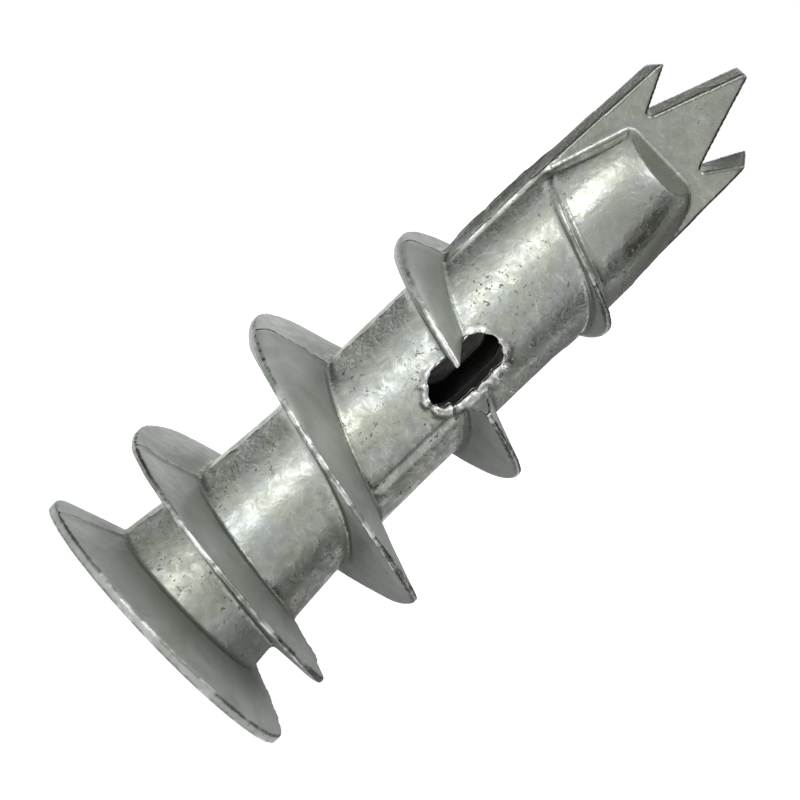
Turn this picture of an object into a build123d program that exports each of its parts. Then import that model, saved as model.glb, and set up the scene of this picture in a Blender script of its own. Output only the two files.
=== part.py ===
from build123d import *
import os
from math import acos, ceil, cos, pi, radians, sin, tan

# Self-drilling wallboard anchor, cast in zinc alloy as one piece.
# It stands on its head: the head's flat outer face is at height zero and the drill tip points up along Z.
# The two die halves meet in the XZ plane and open along Y, so the flat drill blade lies across X.
# Lengths are in millimetres and angles in degrees.

# Whole anchor
LENGTH = 38.0
CUT_OVERRUN = 1.0

# Head: a thin round rim, and a cone behind it that seats in the wallboard
HEAD_DIAMETER = 15.5
RIM_THICKNESS = 0.5
HEAD_CONE_HEIGHT = 1.3

# Shank: it narrows from the neck behind the head, then runs straight
NECK_DIAMETER = 9.0
SHANK_DIAMETER = 7.3
FLARE_HEIGHT = 13.2

# Nose: the rounded end of the shank, on both faces of the blade
NOSE_LENGTH = 4.95
NOSE_CROWN_RISE = 0.1
NOSE_CROWN_DIAMETER = 5.0
NOSE_CORNER_RADIUS = 1.65
END_FACET_ANGLE = 20.0
HEEL_RELIEF_ANGLE = 17.4

# Drill blade: one centre point and a shorter spur on each side
BLADE_REACH = 5.55
BLADE_THICKNESS = 1.5
BLADE_WIDTH = 7.34
SPUR_TIP_WIDTH = 6.8
SPUR_DROP = 2.4
SPUR_RELIEF = 0.6
SPUR_FLAT = 0.2
NOTCH_DEPTH = 4.8
NOTCH_SPACING = 3.8
POINT_FLAT = 0.3
BLADE_ROOT_LENGTH = 6.5
BLADE_ROOT_FOOT_WIDTH = 7.3
BLADE_ROOT_FOOT_THICKNESS = 1.2

# Wall thread: a coarse left-hand rib, thickened where it crosses the parting plane
THREAD_DIAMETER = 15.0
THREAD_PITCH = 7.76
CREST_THICKNESS = 0.3
TIP_FLANK_ANGLE = 15.0
HEAD_FLANK_ANGLE = 5.0
RIB_BITE = 0.65
FIRST_CREST_HEIGHT = 3.72
FIRST_RISE = 1.45
THREAD_TAPER_HEIGHT = 13.5
THREAD_OVERRUN = 0.45
THREAD_END_RISE = 0.12
FIRST_CREST_ANGLE = -20.0
RUN_IN_START_TURN = -0.45
RUN_IN_END_TURN = 0.17
STEPS_PER_QUARTER_TURN = 4
FLANK_POINT_SHARES = (0.0, 0.25, 0.5, 0.75, 1.0)

# Screw bore and cross recess in the head
BORE_DIAMETER = 3.5
BORE_END_WALL = 2.45
BORE_POINT_DEPTH = 1.0
RECESS_SPAN = 6.6
RECESS_FLOOR_SPAN = 3.8
RECESS_WING_WIDTH = 1.3
RECESS_DEPTH = 3.2

# Window through the shank, and the shallow step that the die leaves below it in front
WINDOW_WIDTH = 2.6
WINDOW_LENGTH = 4.7
WINDOW_BELOW_NOSE = 8.65
STEP_OFFSET = 1.05
STEP_DEPTH = 0.22
STEP_LENGTH = 5.2
STEP_TOP_SHARE = 0.5

head_radius = HEAD_DIAMETER / 2
shank_radius = SHANK_DIAMETER / 2
thread_radius = THREAD_DIAMETER / 2
neck_height = RIM_THICKNESS + HEAD_CONE_HEIGHT
flare_top = neck_height + FLARE_HEIGHT
nose_top = LENGTH - BLADE_REACH
nose_start = nose_top - NOSE_LENGTH
blade_face = BLADE_THICKNESS / 2
bore_point = nose_top - BORE_END_WALL
window_height = nose_start - WINDOW_BELOW_NOSE
thread_end = nose_start + THREAD_OVERRUN
first_parting_turn = 0.5 + FIRST_CREST_ANGLE / 360
half_turn_back = Rot(0, 0, 180)


def turned_body():
    """The head, the shank and the nose as one turned form, with the nose's end rounded over."""
    neck = (NECK_DIAMETER / 2, neck_height)
    straight_foot = (shank_radius, flare_top)
    straight_top = (shank_radius, nose_start)
    crown_height = nose_top + NOSE_CROWN_RISE
    crown_edge = (NOSE_CROWN_DIAMETER / 2, crown_height)
    profile = [
        Polyline((0, 0), (head_radius, 0), (head_radius, RIM_THICKNESS), neck),
        TangentArc(straight_foot, neck, tangent=(0, -1)),
        Line(straight_foot, straight_top),
        TangentArc(straight_top, crown_edge, tangent=(0, 1)),
        Polyline(crown_edge, (0, crown_height), (0, 0)),
    ]
    body = revolve(Plane.XZ * make_face(profile), Axis.Z)
    crown_rim = body.faces().sort_by(Axis.Z)[-1].edges()
    return fillet(crown_rim, NOSE_CORNER_RADIUS)


def crest_height(turn):
    """Height of the rib's crest: level, then rising slowly to the parting plane, then at the full pitch."""
    if turn <= 0:
        return FIRST_CREST_HEIGHT
    if turn <= first_parting_turn:
        return FIRST_CREST_HEIGHT + FIRST_RISE * turn / first_parting_turn
    return FIRST_CREST_HEIGHT + FIRST_RISE + THREAD_PITCH * (turn - first_parting_turn)


def local_pitch(turn):
    """Rise of the crest per turn at this place: it grows to the full pitch in a quarter turn."""
    if turn <= 0:
        return 0
    slow = FIRST_RISE / first_parting_turn
    return slow + (THREAD_PITCH - slow) * min(1, max(0, 4 * (turn - first_parting_turn)))


def crest_radius(turn):
    """Radius of the crest: it grows out of the neck, stays full, and tapers to a low rib at the nose."""
    if turn < RUN_IN_END_TURN:
        grown = max(0, (turn - RUN_IN_START_TURN) / (RUN_IN_END_TURN - RUN_IN_START_TURN))
        return shank_radius + (thread_radius - shank_radius) * sin(grown * pi / 2)
    taper = (thread_radius - shank_radius - THREAD_END_RISE) / (thread_end - THREAD_TAPER_HEIGHT)
    return thread_radius - taper * max(0, crest_height(turn) - THREAD_TAPER_HEIGHT)


def flank_drop(radius, turn, flank_angle, drawn):
    """Height between the crest and the flank at this radius.

    A drawn flank runs straight along the way the die opens, so that the die comes free.
    The other flank is a plain slope that thickens towards the parting plane.
    """
    crest = crest_radius(turn)
    angle = rib_angle(turn)
    from_parting = acos(min(1, abs(cos(angle))))
    slope = (crest - radius) * tan(radians(flank_angle))
    rise = local_pitch(turn) / (2 * pi)
    if drawn:
        return max(slope, rise * (acos(min(1, radius * cos(from_parting) / crest)) - from_parting))
    at_parting = max(slope, rise * acos(min(1, radius / crest)))
    return slope + (at_parting - slope) * cos(from_parting) ** 2


def rib_angle(turn):
    """Angle round Z, in radians: the left-hand rib climbs as this angle falls."""
    return radians(FIRST_CREST_ANGLE) - 2 * pi * turn


def rib_section(turn, middle_turn):
    """Closed outline of the rib in the plane through the axis, for a span around middle_turn."""
    angle = rib_angle(turn)
    outward = Vector(cos(angle), sin(angle), 0)
    crest = crest_radius(turn)
    height = crest_height(turn)
    root = shank_radius - RIB_BITE
    upper = []
    lower = []
    upper_is_drawn = sin(2 * rib_angle(middle_turn)) < 0
    for share in FLANK_POINT_SHARES:
        radius = crest - (crest - root) * share**2
        above = CREST_THICKNESS / 2 + flank_drop(radius, turn, TIP_FLANK_ANGLE, upper_is_drawn)
        below = CREST_THICKNESS / 2 + flank_drop(radius, turn, HEAD_FLANK_ANGLE, not upper_is_drawn)
        upper.append(outward * radius + Vector(0, 0, height + above))
        lower.append(outward * radius + Vector(0, 0, height - below))
    edges = [
        Edge.make_spline(upper),
        Edge.make_line(upper[-1], lower[-1]),
        Edge.make_spline(lower[::-1]),
        Edge.make_line(lower[0], upper[0]),
    ]
    return Wire(edges)


def thread_spans():
    """Lofted stretches of the rib, one for each quarter turn between the parting plane and the face."""
    last_rise = thread_end - FIRST_CREST_HEIGHT - FIRST_RISE
    end_turn = first_parting_turn + last_rise / THREAD_PITCH
    quarter = 0.25
    first_quarter = FIRST_CREST_ANGLE / 360
    count = ceil((end_turn - RUN_IN_START_TURN) / quarter) + 1
    marks = [first_quarter + quarter * step for step in range(-count, count + 1)]
    inner = [mark for mark in marks if RUN_IN_START_TURN < mark < end_turn]
    bounds = [RUN_IN_START_TURN, *inner, end_turn]
    spans = []
    for low, high in zip(bounds, bounds[1:]):
        step_size = (high - low) / STEPS_PER_QUARTER_TURN
        turns = [low + step_size * step for step in range(STEPS_PER_QUARTER_TURN + 1)]
        sections = [rib_section(turn, (low + high) / 2) for turn in turns]
        spans.append(Solid.make_loft(sections))
    return spans


def both_faces(front):
    """The same form on the front face and, turned half round, on the back face."""
    return [front, half_turn_back * front]


def nose_cuts():
    """What is trimmed off the nose: a sloped facet at its end and a flat relief behind each heel."""
    reach = shank_radius + CUT_OVERRUN
    height = NOSE_LENGTH + CUT_OVERRUN
    facet_fall = (reach - blade_face) * tan(radians(END_FACET_ANGLE))
    facet = make_face(
        Polyline(
            (blade_face, nose_top),
            (reach, nose_top - facet_fall),
            (reach, nose_start + height),
            (blade_face, nose_start + height),
            close=True,
        )
    )
    relief_lean = height * tan(radians(HEEL_RELIEF_ANGLE))
    relief = make_face(
        Polyline(
            (-shank_radius, nose_start),
            (relief_lean - shank_radius, nose_start + height),
            (-reach, nose_start + height),
            (-reach, nose_start),
            close=True,
        )
    )
    facet_cut = extrude(Plane.YZ * facet, amount=reach, both=True)
    relief_cut = extrude(Plane.XZ.offset(blade_face) * relief, amount=reach)
    return both_faces(facet_cut) + both_faces(relief_cut)


def blade_outline(left_spur_height, right_spur_height):
    """Outline of one face of the drill blade."""
    half_width = BLADE_WIDTH / 2
    half_tip = SPUR_TIP_WIDTH / 2
    half_notch = NOTCH_SPACING / 2
    half_point = POINT_FLAT / 2
    notch_height = LENGTH - NOTCH_DEPTH
    return Wire.make_polygon(
        [
            (-half_width, 0, nose_start),
            (-half_tip, 0, left_spur_height),
            (SPUR_FLAT - half_tip, 0, left_spur_height),
            (-half_notch, 0, notch_height),
            (-half_point, 0, LENGTH),
            (half_point, 0, LENGTH),
            (half_notch, 0, notch_height),
            (half_tip - SPUR_FLAT, 0, right_spur_height),
            (half_tip, 0, right_spur_height),
            (half_width, 0, nose_start),
        ]
    )


def drill_blade():
    """The flat blade: each spur is ground lower on one face than on the other."""
    high = LENGTH - SPUR_DROP
    low = high - SPUR_RELIEF
    front = Pos(0, -blade_face, 0) * blade_outline(high, low)
    back = Pos(0, blade_face, 0) * blade_outline(low, high)
    return Solid.make_loft([front, back], ruled=True)


def blade_root():
    """The land that carries the blade's edges down both sides of the shank, thinning as it goes."""
    top = Pos(0, 0, nose_start) * Rectangle(BLADE_WIDTH, BLADE_THICKNESS)
    foot_height = nose_start - BLADE_ROOT_LENGTH
    foot = Pos(0, 0, foot_height) * Rectangle(BLADE_ROOT_FOOT_WIDTH, BLADE_ROOT_FOOT_THICKNESS)
    return loft([foot, top])


def screw_bore():
    """The blind hole for the screw, ending in the core pin's short point."""
    bore_radius = BORE_DIAMETER / 2
    outline = Polyline(
        (0, -CUT_OVERRUN),
        (bore_radius, -CUT_OVERRUN),
        (bore_radius, bore_point - BORE_POINT_DEPTH),
        (0, bore_point),
        close=True,
    )
    return revolve(Plane.XZ * make_face(outline), Axis.Z)


def cross_recess():
    """Two crossed wings for the driver, narrowing towards the floor."""
    lean = (RECESS_SPAN - RECESS_FLOOR_SPAN) / 2 / RECESS_DEPTH
    mouth = RECESS_SPAN / 2 + lean * CUT_OVERRUN
    floor = RECESS_FLOOR_SPAN / 2
    outline = Polyline(
        (-mouth, -CUT_OVERRUN),
        (mouth, -CUT_OVERRUN),
        (floor, RECESS_DEPTH),
        (-floor, RECESS_DEPTH),
        close=True,
    )
    wing = extrude(Plane.XZ * make_face(outline), amount=RECESS_WING_WIDTH / 2, both=True)
    return [wing, Rot(0, 0, 90) * wing]


def window():
    """The slot with round ends that passes through both faces of the shank."""
    slot = Plane.XZ * Pos(0, window_height) * SlotOverall(WINDOW_LENGTH, WINDOW_WIDTH, rotation=90)
    return extrude(slot, amount=thread_radius + CUT_OVERRUN, both=True)


def witness_step():
    """The shallow flat that runs down the front of the shank from the foot of the window."""
    surface = (shank_radius**2 - STEP_OFFSET**2) ** 0.5
    floor = surface - STEP_DEPTH
    width = (shank_radius**2 - floor**2) ** 0.5 - STEP_OFFSET
    depth = shank_radius - floor
    window_foot = window_height - WINDOW_LENGTH / 2
    foot = window_foot + STEP_TOP_SHARE * WINDOW_WIDTH / 2 - STEP_LENGTH
    return Pos(STEP_OFFSET, -shank_radius, foot) * Box(width, depth, STEP_LENGTH, align=Align.MIN)


anchor = turned_body() - witness_step()
for span in thread_spans():
    anchor += span
for cut in nose_cuts():
    anchor -= cut
anchor += drill_blade()
anchor += blade_root()
for cut in [screw_bore(), *cross_recess(), window()]:
    anchor -= cut

os.makedirs("parts", exist_ok=True)
export_step(anchor, "parts/anchor.step")
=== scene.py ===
import math

import bpy
import numpy as np
from mathutils import Matrix, Quaternion, Vector
from mathutils.bvhtree import BVHTree


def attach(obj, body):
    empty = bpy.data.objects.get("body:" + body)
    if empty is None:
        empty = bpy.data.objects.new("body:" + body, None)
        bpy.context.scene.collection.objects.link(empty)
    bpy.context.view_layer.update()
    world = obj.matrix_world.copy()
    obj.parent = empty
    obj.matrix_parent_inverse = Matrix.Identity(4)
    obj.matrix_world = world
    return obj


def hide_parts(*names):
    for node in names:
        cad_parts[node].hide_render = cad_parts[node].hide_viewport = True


# A wallboard anchor of as-cast zinc, standing on its head on a white studio floor.
# The frame is in metres. Sizes below are in millimetres and angles in degrees,
# unless a comment says otherwise.

MM = 0.001

# The solid's sizes that the added forms and the colours go by
SHANK_RADIUS = 3.65
NECK_RADIUS = 4.5
NECK_HEIGHT = 1.8
FLARE_TOP = 15.0
BORE_RADIUS = 1.75
BORE_FOOT = 3.2
BORE_TOP = 30.0
WINDOW_WIDTH = 2.6
WINDOW_LENGTH = 4.7
WINDOW_HEIGHT = 18.85
LAND_HALF_WIDTH = 3.66
LAND_HALF_THICKNESS = 0.68
LAND_FOOT = 21.6
LAND_TOP = 28.6

# Ragged burr round the window's front edge, with its turns in radians from the right-hand side
BURR_RADIUS = 0.3
BURR_REACH = 0.22
BURR_ARC_STEPS = 20
BURR_SIDE_STEPS = 8
BURR_HEAVY_TURN = -math.pi / 5
BURR_LUMP_TURN = 1.2 * math.pi
BURR_LUMP_SPREAD = 0.1
BURR_LUMP_SHARE = 0.5
BURR_LEAST_SHARE = 0.3
BURR_UNEVEN_REACH = 0.6
BURR_UNEVEN_RADIUS = 0.75

# Flash down the parting line, rounded edges of the blade's land, seams over thread and head
FLASH_RADIUS = 0.1
FLASH_SINK = 0.02
FLASH_POINTS = 90
FLASH_TOP = 21.0
FLASH_UNEVEN = 0.35
BEAD_RADIUS = 0.11
BEAD_POINTS = 40
BEAD_FADE_RATE = 4
BEAD_UNEVEN = 0.25
SEAM_RADIUS = 0.11
SEAM_STEP = 0.15
SEAM_POINTS = 28
SEAM_LEAST_POINTS = 4
SEAM_GAP = 2.0
SEAM_UNEVEN = 0.3
RAY_NUDGE = 0.01

# Skin of the casting
WELD_GAP = 0.0005
FACE_SIZE = 0.11
SOFTEN_STEPS = 2
SWELL_SIZE = 1.6
SWELL_DEPTH = 0.03
DIMPLE_SIZE = 0.4
DIMPLE_DEPTH = 0.016
KEPT_FACES = 0.4
BULGE_SPREAD_STEPS = 1
BUMP_DEPTH = 0.034
SKIN_VALUES = ("Mottle", "Stain", "Pits", "Height")

# Colours of the metal
MOTTLE_DARK = (0.285, 0.296, 0.273, 1)
MOTTLE_LIGHT = (0.395, 0.406, 0.382, 1)
STAIN_WARM = (0.95, 0.96, 0.88, 1)
STAIN_COOL = (0.97, 1.0, 1.03, 1)
THREAD_DARK = (0.32, 0.347, 0.318, 1)
THREAD_LIGHT = (0.41, 0.432, 0.41, 1)
# Painted shade on thread and head, where they meet the shank
ROOT_SHADE = (0.15, 0.172, 0.15, 1)
PIT_DARK = (0.07, 0.07, 0.06, 1)
# Painted shade in concave corners
CORNER_SHADE = (0.12, 0.125, 0.115, 1)
# Edges: dark lines along them, and bright patches that are part wear and part painted highlight
EDGE_DARK = (0.13, 0.136, 0.122, 1)
EDGE_HIGHLIGHT = (0.56, 0.56, 0.545, 1)
# Near-black painted shade inside the bore and the window
HOLLOW_SHADE = (0.012, 0.012, 0.011, 1)

# How rough and how metallic it is
ROUGH_DULL = 0.38
ROUGH_BRIGHT = 0.24
NECK_ROUGH_TOP = 6.0
THREAD_CALM = 0.65
THREAD_METALLIC = 0.5

# The photograph's view
VIEW_AZIMUTH = -21.0
VIEW_ELEVATION = 4.0
VIEW_ROLL = 46.4
VIEW_DISTANCE = 265.0
VIEW_WIDTH = 37.9
AIM_HEIGHT = 15.6
AIM_SIDE = 0.07
NEAREST_SEEN = 10.0
FARTHEST_SEEN = 20000.0

# Floor and surroundings
FLOOR_WIDTH = 4000.0
FLOOR_COLOUR = (0.85, 0.85, 0.85, 1)
FLOOR_FADE_FROM = 20.0
FLOOR_FADE_TO = 250.0
FLOOR_GLOW_NEAR = 0.45
FLOOR_GLOW_FAR = 0.7
WORLD_COLOUR = (1, 1, 1, 1)
WORLD_LIGHT = 0.7

# Lamps and standing cards: azimuth from the view's, elevation, distance, width, height, brightness
LAMPS = {
    "front_lamp": (-26, 15, 280, 140, 180, 3.3),
    "top_lamp": (15, 60, 350, 200, 200, 2.0),
}
CARDS = {
    "front_card": (40, 5, 240, 245, 260, 0.8),
    "right_card": (88, 5, 200, 150, 260, 0.06),
    "back_card": (146, 0, 220, 260, 200, 0.2),
    "left_card": (-110, 5, 200, 270, 260, 0.15),
    "ceiling_card": (180, 58, 250, 560, 250, 0.5),
}

# The card that lies on the floor, with its azimuth from the view's too
FLOOR_CARD_AZIMUTH = 125
FLOOR_CARD_DISTANCE = 55
FLOOR_CARD_LIFT = 0.1
FLOOR_CARD_WIDTH = 100
FLOOR_CARD_LENGTH = 90
FLOOR_CARD_BRIGHTNESS = 0.25


def select_only(*objects):
    """Selects these objects and nothing else, the first one active."""
    bpy.ops.object.select_all(action="DESELECT")
    for item in objects:
        item.select_set(True)
    bpy.context.view_layer.objects.active = objects[0]


def apply_modifiers(item):
    """Applies every modifier of this object, from the first to the last."""
    select_only(item)
    for modifier in list(item.modifiers):
        bpy.ops.object.modifier_apply(modifier=modifier.name)


def flare_radius(height):
    """Radius of the shank at this height: an arc from the neck that ends upright."""
    if height >= FLARE_TOP:
        return SHANK_RADIUS
    drop = FLARE_TOP - NECK_HEIGHT
    growth = NECK_RADIUS - SHANK_RADIUS
    arc = (growth**2 + drop**2) / (2 * growth)
    return SHANK_RADIUS + arc - math.sqrt(arc**2 - (FLARE_TOP - height) ** 2)


def uneven(place, *waves):
    """A steady wobble between -1 and 1 along a line, from a few waves that don't repeat together."""
    return sum(math.sin(place * wave + wave * wave) for wave in waves) / len(waves)


def wire_along(name, places, radii, closed):
    """A round wire through these places, as thick at each one as its radius says."""
    bpy.ops.curve.primitive_bezier_curve_add()
    wire = bpy.context.active_object
    wire.name = name
    curve = wire.data
    curve.dimensions = "3D"
    curve.bevel_depth = 1.0
    curve.bevel_resolution = 2
    curve.use_fill_caps = not closed
    curve.splines.clear()
    spline = curve.splines.new("POLY")
    spline.points.add(len(places) - 1)
    spline.use_cyclic_u = closed
    for point, place, radius in zip(spline.points, places, radii):
        point.co = (*place, 1)
        point.radius = radius
    wire.matrix_world = Matrix.Identity(4)
    select_only(wire)
    bpy.ops.object.convert(target="MESH")
    return wire


def window_outline():
    """Points round the window: each one's turn from the right, and the height it is turned about."""
    straight = (WINDOW_LENGTH - WINDOW_WIDTH) / 2
    outline = []
    for start, middle in ((0, straight), (math.pi, -straight)):
        for step in range(BURR_ARC_STEPS + 1):
            outline.append((start + math.pi * step / BURR_ARC_STEPS, middle))
        for step in range(1, BURR_SIDE_STEPS):
            outline.append((start + math.pi, middle * (1 - 2 * step / BURR_SIDE_STEPS)))
    return outline


def window_burr():
    """The ragged lip that the trimmed window keeps on its front edge, heaviest right and below."""
    places = []
    radii = []
    for step, (turn, middle) in enumerate(window_outline()):
        heavy = 0.5 + 0.5 * math.cos(turn - BURR_HEAVY_TURN)
        lump = math.exp(-((turn - BURR_LUMP_TURN) ** 2) / BURR_LUMP_SPREAD)
        heavy += BURR_LUMP_SHARE * lump
        inward = BURR_REACH * heavy * (1 + BURR_UNEVEN_REACH * uneven(step, 2.2, 1.3))
        reach = WINDOW_WIDTH / 2 - inward
        across = reach * math.cos(turn)
        depth = math.sqrt(SHANK_RADIUS**2 - across**2)
        places.append((across, -depth, WINDOW_HEIGHT + middle + reach * math.sin(turn)))
        share = BURR_LEAST_SHARE + (1 - BURR_LEAST_SHARE) * heavy
        wobble = 1 + BURR_UNEVEN_RADIUS * uneven(step, 1.7, 0.9, 2.6)
        radii.append(BURR_RADIUS * share * wobble)
    return wire_along("window_burr", places, radii, closed=True)


def parting_flash(side):
    """The thin uneven line where the dies met, down one side of the shank."""
    places = []
    radii = []
    for step in range(FLASH_POINTS):
        height = NECK_HEIGHT + (FLASH_TOP - NECK_HEIGHT) * step / (FLASH_POINTS - 1)
        places.append((side * (flare_radius(height) - FLASH_SINK), 0, height))
        radii.append(FLASH_RADIUS * (1 + FLASH_UNEVEN * uneven(height, 1.9, 3.1, 5.3)))
    return wire_along("parting_flash", places, radii, closed=False)


def land_bead(side, face):
    """The rounded edge of the land that carries the blade down one side of the shank."""
    places = []
    radii = []
    for step in range(BEAD_POINTS):
        height = LAND_FOOT + (LAND_TOP - LAND_FOOT) * step / (BEAD_POINTS - 1)
        places.append((side * LAND_HALF_WIDTH, face * LAND_HALF_THICKNESS, height))
        from_end = min(step, BEAD_POINTS - step)
        fade = min(1, BEAD_FADE_RATE * from_end / BEAD_POINTS)
        radii.append(BEAD_RADIUS * fade * (1 + BEAD_UNEVEN * uneven(height, 2.3, 3.7, 5.9)))
    return wire_along("land_bead", places, radii, closed=False)


def rib_seams(body, side):
    """The thin lines where the dies met, over each turn of the thread and the head at one side."""
    mesh = body.data
    corners = [vertex.co for vertex in mesh.vertices]
    surface = BVHTree.FromPolygons(corners, [face.vertices for face in mesh.polygons])
    down = Vector((0, 0, -1))
    lines = []
    for step in range(SEAM_POINTS):
        across = side * (SHANK_RADIUS + SEAM_STEP * (step + 0.5))
        place, normal, _, _ = surface.ray_cast(Vector((across, RAY_NUDGE, LAND_TOP)), down)
        while place is not None:
            if normal.z > 0:
                near = [line for line in lines if abs(line[-1].z - place.z) < SEAM_GAP]
                if near:
                    near[0].append(place)
                else:
                    lines.append([place])
            place, normal, _, _ = surface.ray_cast(place + RAY_NUDGE * down, down)
    seams = []
    for line in lines:
        if len(line) >= SEAM_LEAST_POINTS:
            wobbles = [1 + SEAM_UNEVEN * uneven(spot.x, 2.9, 4.3, 7.1) for spot in line]
            radii = [SEAM_RADIUS * wobble for wobble in wobbles]
            seams.append(wire_along("rib_seam", line, radii, closed=False))
    return seams


def cast_anchor(node):
    """The casting: the solid with burr and flash, in small even faces with an uneven skin."""
    body = bpy.data.objects.new("cast_anchor", node.data.copy())
    bpy.context.scene.collection.objects.link(body)
    body.data.transform(Matrix.Scale(1 / MM, 4))
    select_only(body)
    bpy.ops.object.mode_set(mode="EDIT")
    bpy.ops.mesh.select_all(action="SELECT")
    bpy.ops.mesh.remove_doubles(threshold=WELD_GAP)
    bpy.ops.object.mode_set(mode="OBJECT")
    additions = [window_burr(), parting_flash(-1), parting_flash(1)]
    additions += [land_bead(side, face) for side in (-1, 1) for face in (-1, 1)]
    additions += rib_seams(body, -1) + rib_seams(body, 1)
    select_only(body, *additions)
    bpy.ops.object.join()

    faces = body.modifiers.new("even faces", "REMESH")
    faces.mode = "VOXEL"
    faces.voxel_size = FACE_SIZE
    soften = body.modifiers.new("soft edges", "SMOOTH")
    soften.iterations = SOFTEN_STEPS
    waves = (("swell", SWELL_SIZE, SWELL_DEPTH), ("dimples", DIMPLE_SIZE, DIMPLE_DEPTH))
    for name, size, depth in waves:
        pattern = bpy.data.textures.new(name, "CLOUDS")
        pattern.noise_scale = size
        pattern.noise_depth = 1
        skin = body.modifiers.new(name, "DISPLACE")
        skin.texture = pattern
        skin.texture_coords = "LOCAL"
        skin.strength = depth
        skin.mid_level = 1.0
    fewer = body.modifiers.new("fewer faces", "DECIMATE")
    fewer.ratio = KEPT_FACES
    apply_modifiers(body)
    body.data.transform(Matrix.Scale(MM, 4))
    bpy.ops.object.shade_smooth()
    return body


def mark_bulge(body):
    """Stores on each point how far it stands out from its neighbours: up on edges, down in corners."""
    mesh = body.data
    count = len(mesh.vertices)
    places = np.empty(count * 3)
    normals = np.empty(count * 3)
    pairs = np.empty(len(mesh.edges) * 2, int)
    mesh.vertices.foreach_get("co", places)
    mesh.vertices.foreach_get("normal", normals)
    mesh.edges.foreach_get("vertices", pairs)
    places = places.reshape(-1, 3)
    normals = normals.reshape(-1, 3)
    first, second = pairs.reshape(-1, 2).T
    step = places[second] - places[first]
    length = np.maximum(np.linalg.norm(step, axis=1), 1e-9)
    rise = np.bincount(first, (step * normals[first]).sum(1) / length, count)
    rise += np.bincount(second, (-step * normals[second]).sum(1) / length, count)
    neighbours = np.maximum(np.bincount(pairs, minlength=count), 1)
    bulge = -rise / neighbours
    for _ in range(BULGE_SPREAD_STEPS):
        spread = np.bincount(first, bulge[second], count)
        spread += np.bincount(second, bulge[first], count)
        bulge = (bulge + spread / neighbours) / 2
    stored = mesh.attributes.new("bulge", "FLOAT", "POINT")
    stored.data.foreach_set("value", bulge.astype(np.float32))


def fresh_tree(owner):
    """Turns on the nodes of a material or a world and gives its node tree, emptied."""
    owner.use_nodes = True
    owner.node_tree.nodes.clear()
    return owner.node_tree


def put(tree, kind, **settings):
    """Adds a node and sets its options."""
    node = tree.nodes.new(kind)
    for name, value in settings.items():
        setattr(node, name, value)
    return node


def feed(tree, socket, value):
    """Sets a socket to a plain value, or links another node's output to it."""
    if isinstance(value, bpy.types.NodeSocket):
        tree.links.new(value, socket)
    else:
        socket.default_value = value


def show(tree, shader, kind="ShaderNodeOutputMaterial"):
    """Links a shader to the tree's output."""
    feed(tree, put(tree, kind).inputs["Surface"], shader.outputs[0])


def calculate(tree, operation, first, second=0.0, clamp=False):
    """One sum, product or the like of two values."""
    node = put(tree, "ShaderNodeMath", operation=operation, use_clamp=clamp)
    feed(tree, node.inputs[0], first)
    feed(tree, node.inputs[1], second)
    return node.outputs[0]


def times(tree, first, second):
    """The product of two values."""
    return calculate(tree, "MULTIPLY", first, second)


def minus(tree, first, second):
    """The first value less the second."""
    return calculate(tree, "SUBTRACT", first, second)


def size_of(tree, value):
    """A value without its sign."""
    return calculate(tree, "ABSOLUTE", value)


def noise(tree, place, scale, detail, roughness=0.55, distortion=0.0):
    """Cloudy noise by place."""
    node = put(tree, "ShaderNodeTexNoise")
    feed(tree, node.inputs["Vector"], place)
    feed(tree, node.inputs["Scale"], scale)
    feed(tree, node.inputs["Detail"], detail)
    feed(tree, node.inputs["Roughness"], roughness)
    feed(tree, node.inputs["Distortion"], distortion)
    return node.outputs["Fac"]


def remap(tree, value, low, high, to_low=0.0, to_high=1.0):
    """Turns a value between low and high into one between the other two, held at the ends."""
    node = put(tree, "ShaderNodeMapRange", interpolation_type="SMOOTHSTEP")
    feed(tree, node.inputs["Value"], value)
    feed(tree, node.inputs["From Min"], low)
    feed(tree, node.inputs["From Max"], high)
    feed(tree, node.inputs["To Min"], to_low)
    feed(tree, node.inputs["To Max"], to_high)
    return node.outputs["Result"]


def blend_values(tree, first, second, share):
    """A weighted sum of two values, with this share of the second."""
    return calculate(tree, "ADD", times(tree, first, 1 - share), times(tree, second, share))


def blend_colours(tree, share, first, second, way="MIX"):
    """Two colours mixed, with this share of the second."""
    node = put(tree, "ShaderNodeMix", data_type="RGBA", blend_type=way)
    feed(tree, node.inputs[0], share)
    feed(tree, node.inputs[6], first)
    feed(tree, node.inputs[7], second)
    return node.outputs[2]


def skin_group():
    """Cast skin: mottling, stains, pits and the height of the surface, by place in millimetres."""
    tree = bpy.data.node_groups.new("cast skin", "ShaderNodeTree")
    tree.interface.new_socket("Place", in_out="INPUT", socket_type="NodeSocketVector")
    for name in SKIN_VALUES:
        tree.interface.new_socket(name, in_out="OUTPUT", socket_type="NodeSocketFloat")
    place = put(tree, "NodeGroupInput").outputs["Place"]
    result = put(tree, "NodeGroupOutput")
    fine = noise(tree, place, scale=1.9, detail=4.0, roughness=0.56, distortion=0.6)
    broad = noise(tree, place, scale=0.75, detail=3.0, distortion=0.8)
    grain = noise(tree, place, scale=6.0, detail=2.0)
    specks = noise(tree, place, scale=4.2, detail=3.0, roughness=0.6, distortion=0.4)
    clusters = noise(tree, place, scale=0.42, detail=2.0)
    stain = noise(tree, place, scale=0.33, detail=3.0, roughness=0.6, distortion=1.2)
    pits = times(tree, remap(tree, specks, 0.4, 0.3), remap(tree, clusters, 0.43, 0.61))
    height = minus(tree, blend_values(tree, fine, grain, 0.2), times(tree, pits, 0.6))
    feed(tree, result.inputs["Mottle"], remap(tree, blend_values(tree, fine, broad, 0.35), 0.3, 0.7))
    feed(tree, result.inputs["Stain"], remap(tree, stain, 0.35, 0.7))
    feed(tree, result.inputs["Pits"], pits)
    feed(tree, result.inputs["Height"], height)
    return tree


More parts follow.
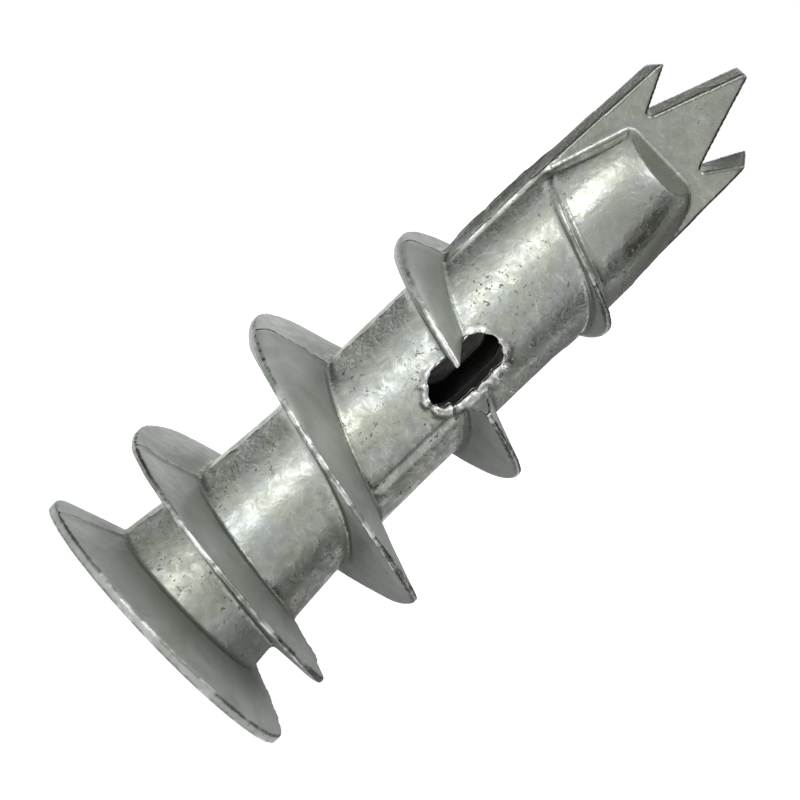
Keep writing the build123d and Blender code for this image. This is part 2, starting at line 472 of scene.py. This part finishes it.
def near_window(tree, across, height, margin, fade):
    """One within the window's outline and a margin round it, and zero beyond a fade."""
    aside = size_of(tree, across)
    from_middle = size_of(tree, minus(tree, height, WINDOW_HEIGHT))
    width = WINDOW_WIDTH / 2 + margin
    length = WINDOW_LENGTH / 2 + margin
    in_width = remap(tree, aside, width + fade, width)
    in_length = remap(tree, from_middle, length + fade, length)
    return times(tree, in_width, in_length)


def hollow(tree, across, height, radius):
    """One inside the screw bore and the window, and zero on the outside of the casting."""
    in_bore = remap(tree, radius, BORE_RADIUS + 0.4, BORE_RADIUS + 0.2)
    above_foot = remap(tree, height, BORE_FOOT - 0.6, BORE_FOOT + 0.4)
    below_top = remap(tree, height, BORE_TOP + 0.6, BORE_TOP + 0.3)
    bore = times(tree, in_bore, times(tree, above_foot, below_top))
    in_wall = remap(tree, radius, SHANK_RADIUS - 0.1, SHANK_RADIUS - 0.35)
    slot = times(tree, in_wall, near_window(tree, across, height, margin=0.05, fade=0.1))
    return calculate(tree, "MAXIMUM", bore, slot)


def window_lip(tree, across, depth, height):
    """One on the burr round the window's front edge, and zero away from it."""
    in_front = remap(tree, depth, -2.0, -3.0)
    return times(tree, in_front, near_window(tree, across, height, margin=0.4, fade=0.3))


def off_shank(tree, height, radius):
    """How far a point lies outside the shank, out on the thread or the head, in millimetres."""
    drop = minus(tree, FLARE_TOP, height)
    below = calculate(tree, "DIVIDE", drop, FLARE_TOP - NECK_HEIGHT, clamp=True)
    growth = times(tree, times(tree, below, below), NECK_RADIUS - SHANK_RADIUS)
    return minus(tree, minus(tree, radius, growth), SHANK_RADIUS)


def as_cast_zinc():
    """Dull grey zinc: mottled and pitted on the shank, smoother on the thread, its edges in dark lines
    and bright patches of wear and painted highlight, with painted shade at the thread's roots, in
    corners and in the hollows.
    """
    material = bpy.data.materials.new("as_cast_zinc")
    tree = fresh_tree(material)
    scaled = put(tree, "ShaderNodeVectorMath", operation="SCALE")
    feed(tree, scaled.inputs[0], put(tree, "ShaderNodeTexCoord").outputs["Object"])
    feed(tree, scaled.inputs["Scale"], 1 / MM)
    place = scaled.outputs[0]
    skin = put(tree, "ShaderNodeGroup", node_tree=skin_group())
    feed(tree, skin.inputs["Place"], place)
    mottle, stain, pits, skin_height = [skin.outputs[name] for name in SKIN_VALUES]

    # Where a point is on the casting
    flat = put(tree, "ShaderNodeVectorMath", operation="MULTIPLY")
    feed(tree, flat.inputs[0], place)
    feed(tree, flat.inputs[1], (1, 1, 0))
    from_axis = put(tree, "ShaderNodeVectorMath", operation="LENGTH")
    feed(tree, from_axis.inputs[0], flat.outputs[0])
    radius = from_axis.outputs["Value"]
    split = put(tree, "ShaderNodeSeparateXYZ")
    feed(tree, split.inputs[0], place)
    across, depth, height = split.outputs
    clear = off_shank(tree, height, radius)
    outer = remap(tree, clear, 0.06, 0.45)
    # Painted shade on thread and head, darkest next to the shank and gone 2.6 mm out
    root = times(tree, outer, remap(tree, clear, 2.6, 0.3))
    neck = remap(tree, height, NECK_ROUGH_TOP, NECK_HEIGHT)
    # The bore and the window, painted near-black as shade
    inside = hollow(tree, across, height, radius)
    bulge = put(tree, "ShaderNodeAttribute", attribute_name="bulge").outputs["Fac"]
    edge = remap(tree, bulge, 0.035, 0.1)
    # Painted shade where the surface dips into a corner
    corner_shade = remap(tree, bulge, -0.04, -0.2)

    # Colour: the skin, and over it what covers a part of it, each with its strength; the root, corner
    # and hollow layers are painted shade, and the bright edge patches are partly painted highlight
    colour = blend_colours(tree, mottle, MOTTLE_DARK, MOTTLE_LIGHT)
    stained = blend_colours(tree, stain, STAIN_WARM, STAIN_COOL)
    colour = blend_colours(tree, 1.0, colour, stained, "MULTIPLY")
    cloud = noise(tree, place, scale=0.4, detail=4.0, roughness=0.6, distortion=0.6)
    thread_colour = blend_colours(tree, remap(tree, cloud, 0.36, 0.64), THREAD_DARK, THREAD_LIGHT)
    # Bright patches on the edges, part wear and part painted highlight, kept to the front and back
    # faces and to the window's burr
    worn_and_highlit = remap(tree, noise(tree, place, scale=1.0, detail=3.0), 0.44, 0.6)
    worn_and_highlit = times(tree, worn_and_highlit, remap(tree, size_of(tree, depth), 2.5, 5.5))
    worn_and_highlit = calculate(tree, "MAXIMUM", worn_and_highlit, window_lip(tree, across, depth, height))
    edge_wear_and_highlight = blend_colours(tree, worn_and_highlit, EDGE_DARK, EDGE_HIGHLIGHT)
    shank_pits = times(tree, pits, minus(tree, 1.0, outer))
    covers = (
        (outer, 0.8, thread_colour),
        (root, 0.4, ROOT_SHADE),
        (shank_pits, 0.75, PIT_DARK),
        (corner_shade, 0.2, CORNER_SHADE),
        (edge, 0.75, edge_wear_and_highlight),
        (inside, 0.9, HOLLOW_SHADE),
    )
    for mask, strength, cover in covers:
        colour = blend_colours(tree, times(tree, mask, strength), colour, cover)

    rough = remap(tree, mottle, 0.0, 1.0, ROUGH_DULL, ROUGH_BRIGHT)
    for mask, change in ((outer, 0.08), (edge, -0.12), (neck, 0.12), (inside, 0.4)):
        rough = calculate(tree, "ADD", rough, times(tree, mask, change))

    bump = put(tree, "ShaderNodeBump")
    feed(tree, bump.inputs["Strength"], 1.0)
    feed(tree, bump.inputs["Distance"], BUMP_DEPTH * MM)
    calm = minus(tree, 1.0, times(tree, outer, THREAD_CALM))
    feed(tree, bump.inputs["Height"], times(tree, skin_height, calm))

    shader = put(tree, "ShaderNodeBsdfPrincipled")
    dull = times(tree, outer, minus(tree, 1.0, edge))
    feed(tree, shader.inputs["Metallic"], remap(tree, dull, 0.0, 1.0, 1.0, THREAD_METALLIC))
    feed(tree, shader.inputs["Base Color"], colour)
    feed(tree, shader.inputs["Roughness"], rough)
    feed(tree, shader.inputs["Normal"], bump.outputs["Normal"])
    show(tree, shader)
    return material


def seen_white(tree):
    """One where a ray comes from the camera, a reflection or a clear piece, and zero elsewhere."""
    path = put(tree, "ShaderNodeLightPath").outputs
    seen = calculate(tree, "MAXIMUM", path["Is Camera Ray"], path["Is Glossy Ray"])
    return calculate(tree, "MAXIMUM", seen, path["Is Transmission Ray"])


def floor():
    """A wide white floor that keeps the shadow and fades to plain white away from the object."""
    bpy.ops.mesh.primitive_plane_add(size=FLOOR_WIDTH * MM)
    plane = bpy.context.active_object
    plane.name = "floor"
    material = bpy.data.materials.new("white_floor")
    tree = fresh_tree(material)
    away = put(tree, "ShaderNodeVectorMath", operation="LENGTH")
    feed(tree, away.inputs[0], put(tree, "ShaderNodeTexCoord").outputs["Object"])
    distance = away.outputs["Value"]
    fade = (FLOOR_FADE_FROM * MM, FLOOR_FADE_TO * MM)
    glow = remap(tree, distance, *fade, FLOOR_GLOW_NEAR, FLOOR_GLOW_FAR)
    matt = put(tree, "ShaderNodeBsdfDiffuse")
    feed(tree, matt.inputs["Color"], FLOOR_COLOUR)
    light = put(tree, "ShaderNodeEmission")
    feed(tree, light.inputs["Strength"], times(tree, glow, seen_white(tree)))
    both = put(tree, "ShaderNodeAddShader")
    feed(tree, both.inputs[0], matt.outputs[0])
    feed(tree, both.inputs[1], light.outputs[0])
    show(tree, both)
    plane.data.materials.append(material)


def surroundings():
    """A white world for what is seen, and a softer one for what it lights."""
    world = bpy.data.worlds.new("white_surroundings")
    bpy.context.scene.world = world
    tree = fresh_tree(world)
    background = put(tree, "ShaderNodeBackground")
    feed(tree, background.inputs["Color"], WORLD_COLOUR)
    strength = remap(tree, seen_white(tree), 0.0, 1.0, WORLD_LIGHT, 1.0)
    feed(tree, background.inputs["Strength"], strength)
    show(tree, background, "ShaderNodeOutputWorld")


def direction(azimuth, elevation):
    """Unit vector from the object towards this azimuth and elevation."""
    turn = math.radians(azimuth)
    lift = math.radians(elevation)
    level = math.cos(lift)
    return Vector((math.sin(turn) * level, -math.cos(turn) * level, math.sin(lift)))


def facing(azimuth, elevation, distance):
    """Where a lamp, a card or the camera stands so as to face the middle of the object."""
    middle = Vector((0, 0, AIM_HEIGHT * MM))
    towards = direction(azimuth, elevation)
    turned = (-towards).to_track_quat("-Z", "Y")
    return Matrix.LocRotScale(middle + towards * distance * MM, turned, None)


def lying(azimuth, distance, height):
    """Where a card lies flat just above the floor, in this direction from the object."""
    place = direction(azimuth, 0) * distance * MM + Vector((0, 0, height * MM))
    turned = Quaternion((0, 0, 1), math.radians(azimuth))
    return Matrix.LocRotScale(place, turned, None)


def soft_lamp(name, place, width, height, brightness):
    """A rectangular soft box, as bright all over as a white surface times its brightness."""
    lamp = bpy.data.lights.new(name, "AREA")
    lamp.shape = "RECTANGLE"
    lamp.size = width * MM
    lamp.size_y = height * MM
    lamp.energy = brightness * math.pi * lamp.size * lamp.size_y
    holder = bpy.data.objects.new(name, lamp)
    bpy.context.scene.collection.objects.link(holder)
    holder.matrix_world = place


def shade_card(name, place, width, height, brightness):
    """A grey card that only the metal sees, so that it shows a darker band or patch there."""
    bpy.ops.mesh.primitive_plane_add(size=1.0)
    card = bpy.context.active_object
    card.name = name
    card.matrix_world = place @ Matrix.Diagonal((width * MM, height * MM, 1, 1))
    card.visible_camera = False
    card.visible_diffuse = False
    card.visible_shadow = False
    material = bpy.data.materials.new(name)
    tree = fresh_tree(material)
    glow = put(tree, "ShaderNodeEmission")
    feed(tree, glow.inputs["Strength"], brightness)
    show(tree, glow)
    card.data.materials.append(material)


def studio():
    """The lamps, and the grey cards that the metal mirrors."""
    for make, table in ((soft_lamp, LAMPS), (shade_card, CARDS)):
        for name, (azimuth, elevation, distance, *size_and_brightness) in table.items():
            make(name, facing(VIEW_AZIMUTH + azimuth, elevation, distance), *size_and_brightness)
    place = lying(VIEW_AZIMUTH + FLOOR_CARD_AZIMUTH, FLOOR_CARD_DISTANCE, FLOOR_CARD_LIFT)
    shade_card("floor_card", place, FLOOR_CARD_WIDTH, FLOOR_CARD_LENGTH, FLOOR_CARD_BRIGHTNESS)


def camera():
    """The photograph's view, rolled so that the anchor's tip is at the picture's upper right."""
    lens = bpy.data.cameras.new("camera")
    lens.lens = lens.sensor_width * VIEW_DISTANCE / VIEW_WIDTH
    lens.clip_start = NEAREST_SEEN * MM
    lens.clip_end = FARTHEST_SEEN * MM
    holder = bpy.data.objects.new("camera", lens)
    bpy.context.scene.collection.objects.link(holder)
    roll = Quaternion((0, 0, 1), math.radians(VIEW_ROLL)).to_matrix().to_4x4()
    aside = Matrix.Translation((AIM_SIDE * MM, 0, 0))
    holder.matrix_world = facing(VIEW_AZIMUTH, VIEW_ELEVATION, VIEW_DISTANCE) @ aside @ roll
    bpy.context.scene.camera = holder


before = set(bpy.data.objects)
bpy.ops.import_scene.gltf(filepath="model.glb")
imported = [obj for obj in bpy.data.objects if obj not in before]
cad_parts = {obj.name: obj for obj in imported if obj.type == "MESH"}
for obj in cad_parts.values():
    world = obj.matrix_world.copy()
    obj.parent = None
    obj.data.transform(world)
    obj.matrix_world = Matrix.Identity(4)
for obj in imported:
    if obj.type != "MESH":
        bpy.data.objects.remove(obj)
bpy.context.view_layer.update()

anchor = cast_anchor(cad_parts["anchor"])
mark_bulge(anchor)
anchor.data.materials.clear()
anchor.data.materials.append(as_cast_zinc())
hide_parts("anchor")
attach(anchor, "root")

floor()
surroundings()
studio()
camera()
bpy.context.scene.view_settings.view_transform = "Standard"
